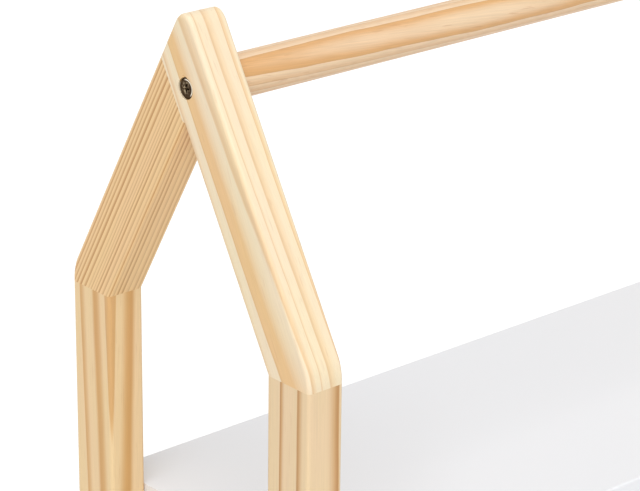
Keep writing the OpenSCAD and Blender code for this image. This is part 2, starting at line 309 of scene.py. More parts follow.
# %% [markdown]
# The ridge bolts go through the front rafters at the height of the pole, and the shelf bolts
# through the middle of each post at the middle of each shelf. The places could be typed in, but
# the model already has them, so they are read from the boxes of the shelves and posts.

# %% Drill the holes
HEAD_HOLE_R = 7.5 * MM
HEAD_HOLE_DEPTH = 3.4 * MM
SHELVES = ("bottom_shelf", "middle_shelf", "top_shelf")
bolt_places = [("front_rafter", side, RIDGE_Y, RIDGE_Z) for side in (LEFT, RIGHT)]
for shelf in SHELVES:
    low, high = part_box(shelf)
    z = (low.z + high.z) / 2
    for side in (LEFT, RIGHT):
        for post in ("front_post", "rear_post"):
            post_low, post_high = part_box("left_" + post)
            bolt_places.append((post, side, (post_low.y + post_high.y) / 2, z))
for part, side, y, z in bolt_places:
    board = boards[("left_" if side == LEFT else "right_") + part]
    take_out(board, rod("bit", HEAD_HOLE_R, 2 * HEAD_HOLE_DEPTH, (side * OUTER_X, y, z)))
print("drilled", len(bolt_places), "holes")

# %% [markdown]
# Where the bit went in at the ridge bolt of the left gable, it tore a small chip out of the wood
# above the hole. A dent could be painted with a bump, but this one breaks the rim of the hole. So
# a flattened ball is taken out in the same way.

# %% The chip above the ridge bolt
CHIP_SIZE = (0.9 * MM, 2.2 * MM, 1.3 * MM)
CHIP_BACK = 0.9 * MM
bpy.ops.object.select_all(action="DESELECT")
bpy.ops.mesh.primitive_uv_sphere_add(
    segments=24, ring_count=12, radius=1, scale=CHIP_SIZE,
    location=(-OUTER_X, RIDGE_Y + CHIP_BACK, RIDGE_Z + HEAD_HOLE_R))
take_out(boards["left_front_rafter"], bpy.context.object)
print("faces of the chipped board:", len(boards["left_front_rafter"].data.polygons))

# %% [markdown]
# A round edge made of five narrow strips still looks faceted. More strips would cost faces, so the
# shading is made smooth instead, and sharp only where faces meet at a steep angle. Weighted
# normals then let the large flat faces win, or they would seem to bulge towards the round edges.

# %% Shade the boards
def finish(piece, angle=40):
    """Smooth shading over the round edges, with the flat faces kept flat."""
    edit(piece, "VERT")
    bpy.ops.mesh.select_all(action="SELECT")
    bpy.ops.mesh.remove_doubles(threshold=0.002 * MM)
    bpy.ops.mesh.normals_make_consistent(inside=False)
    only(piece)
    bpy.ops.object.shade_smooth_by_angle(angle=math.radians(angle))
    apply_modifier(piece, "WEIGHTED_NORMAL", keep_sharp=True, weight=100)


for board in boards.values():
    finish(board)
print("faces in the boards:", sum(len(board.data.polygons) for board in boards.values()))

# %% [markdown]
# ## Ridge pole
# The pole joins the gables just under their peaks. A curve with a round bevel would make a rod
# too, but it would have to become a mesh before its ends could be worked on. So this is a cylinder,
# with many sides because its outline is seen against white. A small bevel breaks its end edges.

# %% Ridge pole
POLE_END_R = 0.5 * MM
low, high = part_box("ridge_pole")
pole = rod("ridge_pole_wood", (high.z - low.z) / 2, high.x - low.x, (low + high) / 2, sides=96)
pick_edges(pole, lambda a, b: near(a.x, b.x))
round_off(POLE_END_R, segments=2)
finish(pole)
print("pole diameter", round(high.z - low.z, 4), "length", round(high.x - low.x, 4))

# %% [markdown]
# ## Bolts and screws
# A furniture bolt has a low flat head with a soft rim and a tapered cross for the screwdriver.
# Head and shank could be two cylinders, but then a wall would be left between them. So the inner
# cap of the head is inset and pulled out into the shank. The cross could be a painted mask, but
# it is seen from close by: it is cut with two tapered bars and with a pit in the middle.

# %% A cross recess
BAR_WIDTH = 1 / 5
BAR_TAPER = 0.6
PIT_TOP = 0.26
PIT_BOTTOM = 0.08


def faces_inwards(centre, normal):
    """For pick_faces: the end of a bolt, screw or cutter whose other end looks towards -X."""
    return normal.x > 0.9


def cross_cut(piece, top, span, depth):
    """Cuts a tapered cross into a head that looks towards -X. top is the middle of its face."""
    top = Vector(top)
    bottom = top + Vector((depth, 0, 0))
    wide = span * BAR_WIDTH
    for size_y, size_z in ((span, wide), (wide, span)):
        half = Vector((0, size_y / 2, size_z / 2))
        cutter = block("cutter", top - half - Vector((MM, 0, 0)), bottom + half)
        pick_faces(cutter, faces_inwards)
        bpy.ops.transform.resize(value=(1, BAR_TAPER, BAR_TAPER), center_override=bottom)
        only(cutter)
        take_out(piece, cutter)
    bpy.ops.object.select_all(action="DESELECT")
    bpy.ops.mesh.primitive_cone_add(
        vertices=24, radius1=span * PIT_TOP, radius2=span * PIT_BOTTOM, depth=2 * depth,
        location=top, rotation=(0, math.pi / 2, 0))
    take_out(piece, bpy.context.object)


print("a bar of the cross is", BAR_WIDTH, "of its span wide and tapers to", BAR_TAPER)

# %% [markdown]
# The bolt is made once, at the origin, with its axis along X. Its plating will be worn in the
# middle of the head, where paler patches also stand in for painted highlights on the cross, and a
# painted highlight will run along one side of the rim. A pattern on Object coordinates can't know
# where the head is once the bolt is copied to its hole. So the bolt gets a UV map that says how far
# each corner lies behind and above the axis, as a share of the head's radius.

# %% One bolt
HEAD_R = 7.15 * MM
HEAD_H = 2.6 * MM
HEAD_SUNK = 0.8 * MM
HEAD_RIM_R = 0.75 * MM
HEAD_CROSS = 7.2 * MM
HEAD_CROSS_DEPTH = 1.6 * MM
BOLT_R = 3 * MM
BOLT_L = 60 * MM
BOLT_TIP = 0.6 * MM
bolt = rod("bolt", HEAD_R, HEAD_H, (HEAD_SUNK + HEAD_H / 2, 0, 0))
pick_faces(bolt, faces_inwards)
bpy.ops.mesh.inset(thickness=HEAD_R - BOLT_R)
bpy.ops.mesh.extrude_region_move(TRANSFORM_OT_translate={"value": (BOLT_L, 0, 0)})
pick_edges(bolt, lambda a, b: near(a.x, HEAD_SUNK) and near(b.x, HEAD_SUNK))
round_off(HEAD_RIM_R, segments=3)
bolt_end = HEAD_SUNK + HEAD_H + BOLT_L
pick_edges(bolt, lambda a, b: near(a.x, bolt_end) and near(b.x, bolt_end))
round_off(BOLT_TIP, segments=1)
only(bolt)
cross_cut(bolt, (HEAD_SUNK, 0, 0), HEAD_CROSS, HEAD_CROSS_DEPTH)
finish(bolt, 30)
across_head = bolt.data.uv_layers.new(name="across_head")
for corner in bolt.data.loops:
    place = bolt.data.vertices[corner.vertex_index].co
    across_head.uv[corner.index].vector = (place.y / HEAD_R, place.z / HEAD_R)
print("bolt length", round(bolt.dimensions.x, 4))

# %% [markdown]
# Every hole takes a copy of the bolt. Mirrored copies would do for the right gable, but a mirror
# turns faces inside out. So the bolt is turned round there, and its head looks outwards too.

# %% A bolt for each hole
def spin(piece, angle):
    """Turns the whole mesh about the vertical axis through the origin."""
    edit(piece, "VERT")
    bpy.ops.mesh.select_all(action="SELECT")
    bpy.ops.transform.rotate(value=angle, orient_axis="Z", center_override=(0, 0, 0))
    only(piece)


bolts = []
for number, (part, side, y, z) in enumerate(bolt_places):
    kind = "ridge_bolt" if part == "front_rafter" else "shelf_bolt"
    twin = copy_of(bolt, f"{kind}_{number + 1}")
    if side == RIGHT:
        spin(twin, math.pi)
    bpy.ops.transform.translate(value=(side * OUTER_X, y, z))
    bpy.ops.object.transform_apply(location=True, rotation=True, scale=True)
    bolts.append(twin)
bpy.data.objects.remove(bolt)
print(len(bolts), "bolts")

# %% [markdown]
# The back panel is held by small countersunk screws. The cone under a head could be a primitive
# of its own, but then it would have to be joined to the shank. A short cylinder whose inner end is
# drawn in and then pulled out into the shank is one closed mesh from the start. It is made along
# X, as the cross cutter needs, and turned at the end.

# %% Screws of the back panel
SCREW_HEAD_R = 2.8 * MM
SCREW_R = 1.5 * MM
SCREW_L = 18 * MM
SCREW_CROSS = 3.2 * MM
SCREW_CROSS_DEPTH = 0.9 * MM
CONE = SCREW_HEAD_R - SCREW_R
screw = rod("screw", SCREW_HEAD_R, CONE, (CONE / 2, 0, 0), sides=32)
pick_faces(screw, faces_inwards)
narrow = SCREW_R / SCREW_HEAD_R
bpy.ops.transform.resize(value=(1, narrow, narrow), center_override=(CONE, 0, 0))
bpy.ops.mesh.extrude_region_move(TRANSFORM_OT_translate={"value": (SCREW_L - CONE, 0, 0)})
only(screw)
cross_cut(screw, (0, 0, 0), SCREW_CROSS, SCREW_CROSS_DEPTH)
spin(screw, math.pi / 2)
finish(screw, 30)
print("screw length", round(screw.dimensions.y, 4))

# %% [markdown]
# Each shelf takes one row of screws, spread evenly between the first and the last hole. An Array
# modifier could lay out a row, but a screw is its own piece, so it is copied. The model says where
# the first and the last one are, and that the heads end flush with the panel.

# %% A screw for each hole
SCREW_COUNT = 5
low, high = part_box("panel_screws")
first, last = low.x + SCREW_HEAD_R, high.x - SCREW_HEAD_R
screws = []
for shelf in SHELVES:
    shelf_low, shelf_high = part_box(shelf)
    for number in range(SCREW_COUNT):
        x = first + number * (last - first) / (SCREW_COUNT - 1)
        place = (x, high.y, (shelf_low.z + shelf_high.z) / 2)
        screws.append(copy_of(screw, f"{shelf}_screw_{number + 1}", place))
bpy.data.objects.remove(screw)
print(len(screws), "screws from x", round(first, 4), "to", round(last, 4))

# %% [markdown]
# ## Building materials
# A material is a net of nodes. Written out, each node takes a line to add it and one for every
# socket. These helpers add a node, set its sockets and link them in one call, so that a formula
# reads like a formula.

# %% Helpers for nodes
def srgb(red, green, blue):
    """A colour as a picture shows it, turned into the linear colour that a socket takes."""
    return tuple(((c / 255 + 0.055) / 1.055) ** 2.4 for c in (red, green, blue)) + (1,)


def feed(tree, node, feeds):
    """Gives each of these sockets of the node a value, or the output of another node."""
    for socket, value in feeds.items():
        if isinstance(value, bpy.types.NodeSocket):
            tree.links.new(value, node.inputs[socket])
        else:
            node.inputs[socket].default_value = value


def add(tree, kind, feeds=None, **settings):
    """Adds a node with these settings and feeds."""
    node = tree.nodes.new("ShaderNode" + kind)
    for name, value in settings.items():
        setattr(node, name, value)
    feed(tree, node, feeds or {})
    return node


def maths(tree, operation, *values):
    return add(tree, "Math", dict(enumerate(values)), operation=operation).outputs[0]


def product(tree, a, b):
    return maths(tree, "MULTIPLY", a, b)


def one_minus(tree, value):
    return maths(tree, "SUBTRACT", 1.0, value)


def blend(tree, amount, a, b, how="MIX"):
    """Mixes two colours."""
    return add(tree, "Mix", {0: amount, 6: a, 7: b}, data_type="RGBA", blend_type=how).outputs[2]


def step(tree, value, low, high):
    """0 below low, 1 above high, and smooth between."""
    feeds = {"Value": value, "From Min": low, "From Max": high}
    return add(tree, "MapRange", feeds, interpolation_type="SMOOTHSTEP").outputs[0]

# %% [markdown]
# Nearly all patterns here depend on the place in the object, as in solid wood. Pictures would have
# to be unwrapped onto each piece, and stretch or break at its edges.
# An effect that several materials share goes into a node group with named sockets. The shader
# itself stays in the material, where it is found at once.

# %% Helpers for patterns and groups
def coordinates(tree):
    """The place of the shaded point in its object, in metres."""
    return add(tree, "TexCoord").outputs["Object"]


def noise(tree, vector, patches, detail=2.0, roughness=0.5):
    """Noise with so many patches per unit, the same for all axes or one number for each."""
    stretch = patches if isinstance(patches, tuple) else (patches, patches, patches)
    scaled = add(tree, "VectorMath", {0: vector, 1: stretch}, operation="MULTIPLY").outputs[0]
    feeds = {"Vector": scaled, "Scale": 1.0, "Detail": detail, "Roughness": roughness}
    return add(tree, "TexNoise", feeds).outputs[0]


def new_group(name, inputs, outputs):
    """A node group. inputs gives each socket's kind and its value, outputs only the kind."""
    tree = bpy.data.node_groups.new(name, "ShaderNodeTree")
    for label, (kind, value) in inputs.items():
        socket = tree.interface.new_socket(label, in_out="INPUT", socket_type="NodeSocket" + kind)
        if value is not None:
            socket.default_value = value
    for label, kind in outputs.items():
        tree.interface.new_socket(label, in_out="OUTPUT", socket_type="NodeSocket" + kind)
    return tree, tree.nodes.new("NodeGroupInput").outputs, tree.nodes.new("NodeGroupOutput")


def use_group(tree, group, feeds):
    return add(tree, "Group", feeds, node_tree=group).outputs

# %% [markdown]
# A new material already has a Principled BSDF, which fits wood, lacquer, metal and plastic. So a
# finish only has to set or feed its sockets, and to raise its surface with a bump.

# %% Helpers for materials
def new_material(name, **shader):
    """A material with a Principled BSDF, whose plain values are set on its own sockets."""
    material = bpy.data.materials.new(name)
    material.use_nodes = True
    tree = material.node_tree
    bsdf = tree.nodes["Principled BSDF"]
    for socket, value in shader.items():
        bsdf.inputs[socket.replace("_", " ")].default_value = value
    return material, tree, bsdf


def bumpy(tree, bsdf, height, strength, distance=0.05 * MM):
    """Raises the surface where height is large, by up to this distance."""
    bump = add(tree, "Bump", {"Height": height, "Strength": strength, "Distance": distance})
    tree.links.new(bump.outputs[0], bsdf.inputs["Normal"])


def dress(piece, material):
    """Puts this one material on the piece."""
    piece.data.materials.clear()
    piece.data.materials.append(material)

# %% [markdown]
# ## Pine
# Pine is a stack of cones around the heart of the log. Each year adds pale early wood that turns
# into a darker, orange line of late wood and stops sharply. A board shows stripes, flames or fine
# lines depending on where it was sawn. Blender's wave texture has rings too, but all of them are
# alike. So the group below measures how far a point lies from the heart, in millimetres, and every
# board gets its own heart, lean and ring width.
#
# No two years are alike. Uneven squeezes and spreads the rings, Wander bends them, and a random
# number per year, scaled by Luck and Thinning, makes the late wood of some years paler and
# narrower. Phase says which year the heart starts from, and so also which years a board shows.

# %% Year rings
RINGS_IN = {
    "Vector": ("Vector", None),
    "Ring Width": ("Float", 5.0),
    "Uneven": ("Float", 0.2),
    "Uneven Length": ("Float", 23.0),
    "Wander": ("Float", 1.5),
    "Phase": ("Float", 0.0),
    "Late From": ("Float", 0.25),
    "Late To": ("Float", 0.9),
    "Luck": ("Float", 0.45),
    "Thinning": ("Float", 0.0),
}
SWAY_PATCHES = (0.04, 0.04, 0.011)
YEAR_ENDS = (0.95, 1.0)
LINE_BEGINS = (0.8, 0.95)
rings, given, result = new_group("year_rings", RINGS_IN, {"Late": "Float", "Line": "Float"})
split = add(rings, "SeparateXYZ", {0: given["Vector"]}).outputs
flat = add(rings, "CombineXYZ", {0: split[0], 1: split[1], 2: 0.0}).outputs[0]
distance = add(rings, "VectorMath", {0: flat}, operation="LENGTH").outputs["Value"]
sway = maths(rings, "SUBTRACT", noise(rings, given["Vector"], SWAY_PATCHES, 3.0), 0.5)
distance = maths(rings, "ADD", distance, product(rings, sway, given["Wander"]))
wave = maths(rings, "DIVIDE", distance, given["Uneven Length"])
wave = maths(rings, "SINE", product(rings, wave, 2 * math.pi))
years = maths(rings, "DIVIDE", distance, given["Ring Width"])
years = maths(rings, "ADD", years, product(rings, wave, given["Uneven"]))
years = maths(rings, "ADD", years, given["Phase"])
season = maths(rings, "FRACT", years)
year = maths(rings, "FLOOR", years)
luck = add(rings, "TexWhiteNoise", {"W": year}, noise_dimensions="1D").outputs["Value"]
ending = one_minus(rings, step(rings, season, *YEAR_ENDS))
strength = one_minus(rings, product(rings, luck, given["Luck"]))
strength = product(rings, strength, ending)
thinner = product(rings, luck, given["Thinning"])
begins = maths(rings, "ADD", given["Late From"], thinner)
full = maths(rings, "ADD", given["Late To"], thinner)
late = product(rings, step(rings, season, begins, full), strength)
line = product(rings, step(rings, season, *LINE_BEGINS), ending)
feed(rings, result, {"Late": late, "Line": line})
print("year rings:", len(rings.nodes), "nodes")

# %% [markdown]
# The colour goes from cream early wood to orange late wood. Over it lie long fibres, a slow drift
# between yellow and pink, and a few short resin streaks. A single noise would look like marble, so
# each of these is a noise of its own, stretched along the grain. The late wood is harder, so it
# stands a little proud and shines a little more after sanding.

# %% Colour of a pine face
FACE_IN = {
    "Vector": ("Vector", None),
    "Late": ("Float", 0.0),
    "Line": ("Float", 0.0),
    "Early Wood": ("Color", srgb(240, 214, 176)),
    "Late Wood": ("Color", srgb(224, 178, 120)),
    "Line Colour": ("Color", srgb(190, 140, 85)),
    "Line Strength": ("Float", 0.5),
    "Fibre": ("Float", 0.5),
    "Drift": ("Float", 0.6),
    "Streaks": ("Float", 0.12),
}
FACE_OUT = {"Color": "Color", "Roughness": "Float", "Height": "Float"}
DRIFT_PATCHES = (0.05, 0.05, 0.009)
FIBRE_PATCHES = (1.3, 1.3, 0.02)
STREAK_PATCHES = (0.55, 0.55, 0.045)
YELLOWER = (0.995, 1.005, 0.96, 1)
PINKER = (1.005, 0.985, 1.0, 1)
RESIN = srgb(196, 138, 92)
FIBRE_SHADE = 0.35
ROUGH_EARLY_WOOD = 0.46
SHINE_OF_LATE_WOOD = 0.08
face, given, result = new_group("pine_face", FACE_IN, FACE_OUT)
colour = blend(face, given["Late"], given["Early Wood"], given["Late Wood"])
line = product(face, given["Line"], given["Line Strength"])
colour = blend(face, line, colour, given["Line Colour"])
drift = step(face, noise(face, given["Vector"], DRIFT_PATCHES, 1.0), 0.35, 0.65)
tint = blend(face, drift, YELLOWER, PINKER)
colour = blend(face, given["Drift"], colour, tint, "MULTIPLY")
fibre = noise(face, given["Vector"], FIBRE_PATCHES, 3.0, 0.6)
shade = product(face, maths(face, "SUBTRACT", fibre, 0.5), given["Fibre"])
shade = maths(face, "ADD", 1.0, product(face, shade, FIBRE_SHADE))
shade = add(face, "CombineColor", {0: shade, 1: shade, 2: shade}).outputs[0]
colour = blend(face, 1.0, colour, shade, "MULTIPLY")
streak = step(face, noise(face, given["Vector"], STREAK_PATCHES, 1.0), 0.66, 0.74)
colour = blend(face, product(face, streak, given["Streaks"]), colour, RESIN)
rough = maths(face, "SUBTRACT", ROUGH_EARLY_WOOD, product(face, given["Late"], SHINE_OF_LATE_WOOD))
height = maths(face, "ADD", product(face, given["Late"], 0.4), product(face, fibre, 0.6))
feed(face, result, {"Color": colour, "Roughness": rough, "Height": height})
print("pine face:", len(face.nodes), "nodes")

# %% [markdown]
# Each board could get a texture painted for it, but then the lines on its face and on its edge
# wouldn't meet. So every board is cut from a solid log. A Mapping node of the Texture kind moves
# the pattern to the heart of that log and turns it so that its Z axis runs along the grain. Its
# scale makes a unit a millimetre, so the rings' sizes are easy to read. The heart is given from
# the middle of the board, across X and across the gable.

# %% A pine material for one board
def pine(name, middle, along, heart, lean=(0, 0), rings_of=None, face_of=None):
    """middle is a point in the board, and along how its grain is turned about X and Y."""
    material, tree, bsdf = new_material(name, Roughness=0.55)
    lie = Matrix.Rotation(along[1], 3, "Y") @ Matrix.Rotation(along[0], 3, "X")
    place = Vector(middle) + lie @ Vector((heart[0] * MM, heart[1] * MM, 0))
    turn = (along[0] + lean[0], along[1] + lean[1], 0)
    feeds = {"Vector": coordinates(tree), "Location": place, "Rotation": turn, "Scale": (MM, MM, MM)}
    log = add(tree, "Mapping", feeds, vector_type="TEXTURE").outputs[0]
    ring = use_group(tree, rings, {"Vector": log, **(rings_of or {})})
    feeds = {"Vector": log, "Late": ring["Late"], "Line": ring["Line"], **(face_of or {})}
    wood = use_group(tree, face, feeds)
    feed(tree, bsdf, {"Base Color": wood["Color"], "Roughness": wood["Roughness"]})
    bumpy(tree, bsdf, wood["Height"], 0.25, 0.1 * MM)
    return material


UP_FRONT_SLOPE = (PITCH - math.pi / 2, 0)
UP_REAR_SLOPE = (math.pi / 2 - PITCH, 0)
UPRIGHT = (0, 0)
ALONG_X = (0, math.pi / 2)
ALONG_Y = (math.pi / 2, 0)
print("the grain of a front rafter leans", round(math.degrees(UP_FRONT_SLOPE[0]), 1), "degrees")

# %% [markdown]
# ### The boards' logs
# The rings of the left gable follow the lines that were measured in the photograph. Rings placed
# by eye would be quicker, but this gable is seen from close by. The front rafter and the posts
# have wide rings, so they show broad bands. The rear rafter comes from a slow grown log, so it
# shows dense and nearly straight lines. Where a line slants, the log leans.

# %% Pine for the left gable
def middle_of(node):
    low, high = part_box(node)
    return (low + high) / 2


def slope_middle(side, end):
    """A point on the middle line of a rafter, halfway up."""
    y = GABLE_MID + end * (CASE_D / 4 - TIMBER_D / 4)
    return (side * (OUTER_X + INNER_X) / 2, y, (POST_TOP + SHARP_PEAK_Z) / 2)


def give_log(board, middle, along, heart, **more):
    """Dresses a board of a gable in pine from a log of its own."""
    dress(boards[board], pine("pine_" + board, middle, along, heart, **more))


give_log("left_front_rafter", slope_middle(LEFT, FRONT), UP_FRONT_SLOPE, (65.2, -32.7),
         lean=(0.0666, -0.0496),
         rings_of={"Ring Width": 8.565, "Uneven": 0.198, "Uneven Length": 19.28, "Phase": 514.94,
                   "Wander": 1.5, "Late From": 0.0, "Late To": 0.4, "Luck": 0.6, "Thinning": 0.6},
         face_of={"Early Wood": srgb(246, 227, 194), "Late Wood": srgb(237, 196, 139),
                  "Line Colour": srgb(205, 160, 105), "Line Strength": 0.3})
give_log("left_rear_rafter", slope_middle(LEFT, REAR), UP_REAR_SLOPE, (-51.3, 39.2),
         rings_of={"Ring Width": 2.476, "Uneven": 0.291, "Uneven Length": 16.11, "Phase": 357.49,
                   "Wander": 0.8, "Late From": 0.3, "Late To": 0.85, "Luck": 0.75},
         face_of={"Early Wood": srgb(243, 206, 152), "Late Wood": srgb(199, 144, 83),
                  "Line Colour": srgb(170, 118, 68), "Line Strength": 0.35})
give_log("left_rear_post", middle_of("left_rear_post"), UPRIGHT, (-37.8, -54.0),
         lean=(-0.026, 0.015),
         rings_of={"Ring Width": 15.58, "Uneven": 0.153, "Uneven Length": 17.79, "Phase": 2.13,
                   "Wander": 1.6, "Luck": 0.25, "Late To": 0.95},
         face_of={"Early Wood": srgb(239, 208, 160), "Late Wood": srgb(215, 164, 98),
                  "Line Strength": 0.1})
give_log("left_front_post", middle_of("left_front_post"), UPRIGHT, (-21.0, -58.3),
         lean=(0.0068, -0.0006),
         rings_of={"Ring Width": 15.98, "Uneven": 0.124, "Uneven Length": 22.56, "Phase": 0.6134,
                   "Wander": 1.2, "Late From": 0.48, "Late To": 0.98, "Luck": 0.2},
         face_of={"Early Wood": srgb(237, 209, 168), "Late Wood": srgb(201, 148, 84),
                  "Line Colour": srgb(184, 130, 74), "Line Strength": 0.6})
print("dressed", sum(len(board.data.materials) for board in boards.values()), "boards")

# %% [markdown]
# The photograph doesn't show the right gable and the rails. They get rings of the same kind, each
# from another part of another log, so that no board repeats.

# %% Pine for the right gable and the rails
give_log("right_front_rafter", slope_middle(RIGHT, FRONT), UP_FRONT_SLOPE, (-60, 12),
         rings_of={"Ring Width": 7})
give_log("right_rear_rafter", slope_middle(RIGHT, REAR), UP_REAR_SLOPE, (30, 60),
         rings_of={"Ring Width": 4})
give_log("right_rear_post", middle_of("right_rear_post"), UPRIGHT, (-55, 12),
         lean=(-0.015, 0.012), rings_of={"Ring Width": 9})
give_log("right_front_post", middle_of("right_front_post"), UPRIGHT, (48, -30),
         lean=(0.01, 0.02), rings_of={"Ring Width": 6})
give_log("left_bottom_rail", middle_of("left_bottom_rail"), ALONG_Y, (40, 10),
         rings_of={"Ring Width": 7})
give_log("right_bottom_rail", middle_of("right_bottom_rail"), ALONG_Y, (-45, 25),
         rings_of={"Ring Width": 5})
print("dressed", sum(len(board.data.materials) for board in boards.values()), "boards")

# %% [markdown]
# The log of the ridge pole leans by a few degrees, so the surface of the rod crosses its rings at
# a shallow angle. One year then shows as a long flame along the pole, as in the photograph.

# %% Pine for the ridge pole
pole_pine = pine("pine_ridge_pole", middle_of("ridge_pole"), ALONG_X, (-8.7, -65.8),
                 lean=(0.0374, 0.0903),
                 rings_of={"Ring Width": 5.05, "Uneven": 0.0, "Phase": 362.51, "Wander": 3.0,
                           "Late From": 0.05, "Late To": 0.75, "Luck": 0.7},
                 face_of={"Early Wood": srgb(238, 209, 174), "Late Wood": srgb(221, 170, 112),
                          "Line Strength": 0.3, "Fibre": 1.0, "Drift": 0.25, "Streaks": 0.3})
dress(pole, pole_pine)
print("pole in", pole_pine.name)

# %% [markdown]
# ## The other finishes
# The shelves are board with a white satin lacquer, and the back panel is thinner and duller. A
# single white would look like plastic. The lacquer varies in tone and gloss in broad clouds, and
# its skin has the fine dimples that a spray gun leaves.

# %% White lacquer
CLOUDS = 6
DIMPLES = 400
SHELF_WHITE = srgb(241, 242, 245)
PANEL_WHITE = srgb(232, 232, 230)


def lacquer(name, white, rough, orange_peel):
    """Satin lacquer, a little cloudy. orange_peel is how strongly its skin is dimpled."""
    material, tree, bsdf = new_material(name, Roughness=rough)
    where = coordinates(tree)
    cloud = noise(tree, where, CLOUDS, 3.0)
    greyer = tuple(c * 0.985 for c in white[:3]) + (1,)
    colour = blend(tree, cloud, white, greyer)
    skin = noise(tree, where, DIMPLES)
    gloss = maths(tree, "ADD", rough - 0.04, product(tree, cloud, 0.08))
    feed(tree, bsdf, {"Base Color": colour, "Roughness": gloss})
    bumpy(tree, bsdf, skin, orange_peel)
    return material


satin = lacquer("white_lacquer", SHELF_WHITE, rough=0.38, orange_peel=0.15)
for shelf in SHELVES:
    dress(nodes[shelf], satin)
dull = lacquer("white_panel", PANEL_WHITE, rough=0.55, orange_peel=0.3)
dress(nodes["back_panel"], dull)
print("lacquered:", len(SHELVES), "shelves and the panel")

# %% [markdown]
# The bolt heads are bronze plated. The plating has rubbed off to a paler metal where a driver
# turned in the cross, and these pale patches also serve as painted highlights on its facets. Along
# one side of the rim a band of pale metal is a painted highlight. Noise alone would put these
# anywhere, so they are held by the bolt's own UV map, and go along with each copy of the bolt.

# %% Bronze
DARK_BRONZE = srgb(38, 24, 10)
LIGHT_BRONZE = srgb(82, 60, 32)
# paler metal round the cross: worn plating, and painted highlight on the facets of the cross
CROSS_WEAR_AND_HIGHLIGHT = srgb(188, 170, 138)
# painted highlight: a bright band of pale metal along one side of the rim
PAINTED_RIM_HIGHLIGHT = srgb(244, 232, 212)
MOTTLES = 700
CROSS_WEAR_AND_HIGHLIGHT_ENDS = (0.35, 0.8)
# where the painted rim highlight begins and fades across the head, and the side where it is left off
RIM_HIGHLIGHT_BEGINS = (0.74, 0.80)
RIM_HIGHLIGHT_ENDS = (0.86, 0.90)
UNLIT_RIM_SIDE = (-0.5, -0.05)


def bronzed():
    """Dark bronze, paler round the cross from wear and painted highlight, with a painted rim
    highlight.
    """
    material, tree, bsdf = new_material("bronze", Metallic=1.0)
    head = add(tree, "UVMap", uv_map="across_head").outputs[0]
    from_axis = add(tree, "VectorMath", {0: head}, operation="LENGTH").outputs["Value"]
    backwards, upwards, _ = add(tree, "SeparateXYZ", {0: head}).outputs
    towards_rear = maths(tree, "SUBTRACT", backwards, product(tree, upwards, 0.6))
    mottle = noise(tree, coordinates(tree), MOTTLES, 3.0, 0.6)
    # pale patches round the cross, partly worn plating and partly painted highlight
    centre = one_minus(tree, step(tree, from_axis, *CROSS_WEAR_AND_HIGHLIGHT_ENDS))
    pale_patches = product(tree, step(tree, mottle, 0.48, 0.66), centre)
    # painted highlight along one side of the rim
    outer = step(tree, from_axis, *RIM_HIGHLIGHT_BEGINS)
    rim_highlight = product(tree, outer, one_minus(tree, step(tree, from_axis, *RIM_HIGHLIGHT_ENDS)))
    rim_highlight = product(tree, rim_highlight, one_minus(tree, step(tree, towards_rear, *UNLIT_RIM_SIDE)))
    colour = blend(tree, mottle, DARK_BRONZE, LIGHT_BRONZE)
    # paint the worn and highlit patches round the cross, then the painted highlight on the rim
    colour = blend(tree, pale_patches, colour, CROSS_WEAR_AND_HIGHLIGHT)
    colour = blend(tree, rim_highlight, colour, PAINTED_RIM_HIGHLIGHT)
    # glossier where the plating is worn and where the highlight is painted
    wear_or_highlight = maths(tree, "MAXIMUM", pale_patches, rim_highlight)
    gloss = maths(tree, "SUBTRACT", 0.42, product(tree, wear_or_highlight, 0.12))
    feed(tree, bsdf, {"Base Color": colour, "Roughness": gloss})
    bumpy(tree, bsdf, mottle, 0.3)
    return material


bronze = bronzed()
for piece in bolts:
    dress(piece, bronze)
print(bronze.name, "with", len(bronze.node_tree.nodes), "nodes")

# %% [markdown]
# Inserts, nuts and panel screws are zinc plated. Plating is never one even grey: it has small
# duller and brighter patches, which are a mask for both the colour and the gloss.

# %% Zinc
def metal(name, dark, pale, rough, patch):
    """A plated metal with patches of a paler colour. patch is the patches' size in millimetres."""
    material, tree, bsdf = new_material(name, Metallic=1.0)
    pale_patches = step(tree, noise(tree, coordinates(tree), 1 / (patch * MM), 3.0, 0.6), 0.42, 0.62)
    colour = blend(tree, pale_patches, dark, pale)
    gloss = maths(tree, "ADD", rough, product(tree, pale_patches, -0.1))
    feed(tree, bsdf, {"Base Color": colour, "Roughness": gloss})
    bumpy(tree, bsdf, pale_patches, 0.2)
    return material


DULL_ZINC = srgb(170, 172, 176)
BRIGHT_ZINC = srgb(205, 207, 210)
zinc = metal("zinc", DULL_ZINC, BRIGHT_ZINC, rough=0.35, patch=2.0)
for name in ("ridge_inserts", "shelf_barrel_nuts"):
    dress(nodes[name], zinc)
for piece in screws:
    dress(piece, zinc)
print(zinc.name, "with", len(zinc.node_tree.nodes), "nodes")

# %% [markdown]
# The dowels are beech. It has no bold rings at this size, so the pine group isn't used: short dark
# flecks on a pale, slightly cloudy brown tell it from the pine round it.

# %% Beech
BEECH_BROWN = srgb(226, 186, 142)
BEECH_DARKER = srgb(212, 168, 122)
FLECK_BROWN = srgb(190, 142, 98)
FLECKS = (900, 900, 250)


def beech():
    """Pale brown, with the short darker flecks of this wood."""
    material, tree, bsdf = new_material("beech", Roughness=0.6)
    where = coordinates(tree)
    fleck = step(tree, noise(tree, where, FLECKS), 0.5, 0.7)
    cloud = noise(tree, where, 60)
    colour = blend(tree, cloud, BEECH_BROWN, BEECH_DARKER)
    feed(tree, bsdf, {"Base Color": blend(tree, fleck, colour, FLECK_BROWN)})
    bumpy(tree, bsdf, fleck, 0.2)
    return material


beech_dowel = beech()
for name in ("post_dowels", "peak_dowels", "rail_dowels"):
    dress(nodes[name], beech_dowel)
print(beech_dowel.name, "with", len(beech_dowel.node_tree.nodes), "nodes")

